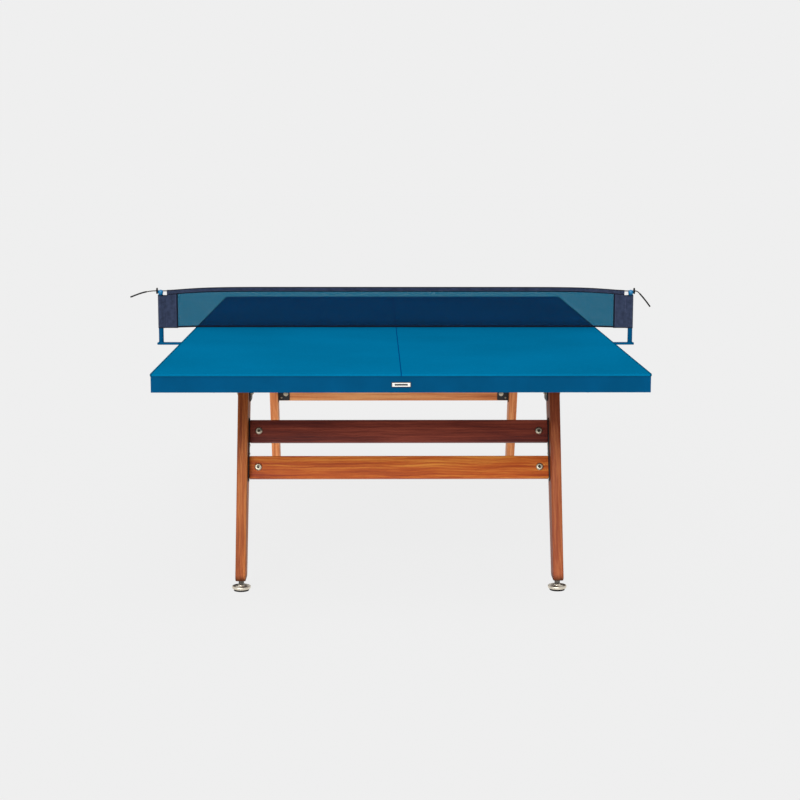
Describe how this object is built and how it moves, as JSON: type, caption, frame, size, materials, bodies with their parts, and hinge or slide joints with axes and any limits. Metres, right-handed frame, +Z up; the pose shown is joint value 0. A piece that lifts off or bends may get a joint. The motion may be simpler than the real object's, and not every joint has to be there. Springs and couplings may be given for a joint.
{
  "type": "ping pong table",
  "caption": "Full-size outdoor ping pong table: blue top in a steel frame, leaning timber legs with cross planks, post net and levelling feet.",
  "frame": {"origin": "on the floor under the middle of the net", "axes": "+Z up; +Y along the length, from the near end with the plate to the far end; +X across the width, to the right of someone standing at the near end"},
  "size_m": [1.9809, 2.74, 0.9148],
  "materials": {
    "blue_laminate": "fine satin compact laminate",
    "blue_steel": "satin powder coat",
    "dark_steel": "matt black powder coat",
    "timber": "oiled red-brown hardwood",
    "bolt_steel": "satin nickel plate",
    "chrome": "polished",
    "rubber": "matt moulded",
    "label_plate": "white enamelled, blank",
    "blue_plastic": "moulded, glossy",
    "net_thread": "fine knotted mesh",
    "net_tape": "woven polyester",
    "cord": "braided"
  },
  "bodies": {
    "table": {"top_panel_near": "blue_laminate", "top_panel_far": "blue_laminate", "end_rail_near": "blue_steel", "end_rail_far": "blue_steel", "side_rail_left": "blue_steel", "side_rail_right": "blue_steel", "net_post_left": "blue_steel", "net_post_right": "blue_steel", "centre_beam": "dark_steel", "trestle_beam_near": "dark_steel", "trestle_beam_far": "dark_steel", "plank_near_upper": "timber", "plank_near_lower": "timber", "leg_near_left": "timber", "plank_bracket_near_left": "dark_steel", "plank_bolt_near_upper_left": "bolt_steel", "plank_bolt_near_lower_left": "bolt_steel", "leg_near_right": "timber", "plank_bracket_near_right": "dark_steel", "plank_bolt_near_upper_right": "bolt_steel", "plank_bolt_near_lower_right": "bolt_steel", "plank_far_upper": "timber", "plank_far_lower": "timber", "leg_far_left": "timber", "plank_bracket_far_left": "dark_steel", "plank_bolt_far_upper_left": "bolt_steel", "plank_bolt_far_lower_left": "bolt_steel", "leg_far_right": "timber", "plank_bracket_far_right": "dark_steel", "plank_bolt_far_upper_right": "bolt_steel", "plank_bolt_far_lower_right": "bolt_steel", "maker_plate": "label_plate", "post_ball_left": "blue_plastic", "post_ball_right": "blue_plastic", "net_arm_bolt_left": "bolt_steel", "net_arm_bolt_right": "bolt_steel", "net_mesh": "net_thread", "net_top_tape": "net_tape", "net_bottom_hem": "net_tape", "net_sleeve_left": "net_tape", "net_sleeve_right": "net_tape", "net_cord": "cord", "cord_tail_left": "cord", "cord_tip_left": "rubber", "cord_tail_right": "cord", "cord_tip_right": "rubber"},
    "foot_near_left": {"foot_base_near_left": "chrome", "foot_pad_near_left": "rubber"},
    "stem_near_left": {"foot_stem_near_left": "chrome"},
    "foot_near_right": {"foot_base_near_right": "chrome", "foot_pad_near_right": "rubber"},
    "stem_near_right": {"foot_stem_near_right": "chrome"},
    "foot_far_left": {"foot_base_far_left": "chrome", "foot_pad_far_left": "rubber"},
    "stem_far_left": {"foot_stem_far_left": "chrome"},
    "foot_far_right": {"foot_base_far_right": "chrome", "foot_pad_far_right": "rubber"},
    "stem_far_right": {"foot_stem_far_right": "chrome"},
    "cord_stop_left": {"cord_stop_left": "rubber"},
    "cord_stop_right": {"cord_stop_right": "rubber"}
  },
  "joints": [
    {"name": "foot_height_near_left", "type": "slide", "parent": "table", "child": "foot_near_left", "axis": [0, 0, -1], "range_m": [0, 0.015]},
    {"name": "stem_turn_near_left", "type": "hinge", "parent": "foot_near_left", "child": "stem_near_left", "pos_m": [-0.519, -1.035, 0.03], "axis": [0, 0, -1], "range_deg": [0, 3600]},
    {"name": "foot_height_near_right", "type": "slide", "parent": "table", "child": "foot_near_right", "axis": [0, 0, -1], "range_m": [0, 0.015]},
    {"name": "stem_turn_near_right", "type": "hinge", "parent": "foot_near_right", "child": "stem_near_right", "pos_m": [0.519, -1.035, 0.03], "axis": [0, 0, -1], "range_deg": [0, 3600]},
    {"name": "foot_height_far_left", "type": "slide", "parent": "table", "child": "foot_far_left", "axis": [0, 0, -1], "range_m": [0, 0.015]},
    {"name": "stem_turn_far_left", "type": "hinge", "parent": "foot_far_left", "child": "stem_far_left", "pos_m": [-0.519, 1.035, 0.03], "axis": [0, 0, -1], "range_deg": [0, 3600]},
    {"name": "foot_height_far_right", "type": "slide", "parent": "table", "child": "foot_far_right", "axis": [0, 0, -1], "range_m": [0, 0.015]},
    {"name": "stem_turn_far_right", "type": "hinge", "parent": "foot_far_right", "child": "stem_far_right", "pos_m": [0.519, 1.035, 0.03], "axis": [0, 0, -1], "range_deg": [0, 3600]},
    {"name": "cord_stop_slide_left", "type": "slide", "parent": "table", "child": "cord_stop_left", "axis": [-1, 0, 0], "range_m": [0, 0.004]},
    {"name": "cord_stop_slide_right", "type": "slide", "parent": "table", "child": "cord_stop_right", "axis": [1, 0, 0], "range_m": [0, 0.004]}
  ],
  "couplings": [
    {"joint": "stem_turn_near_left", "follows": "foot_height_near_left", "rad_per_m": 4188.8},
    {"joint": "stem_turn_near_right", "follows": "foot_height_near_right", "rad_per_m": 4188.8},
    {"joint": "stem_turn_far_left", "follows": "foot_height_far_left", "rad_per_m": 4188.8},
    {"joint": "stem_turn_far_right", "follows": "foot_height_far_right", "rad_per_m": 4188.8}
  ]
}
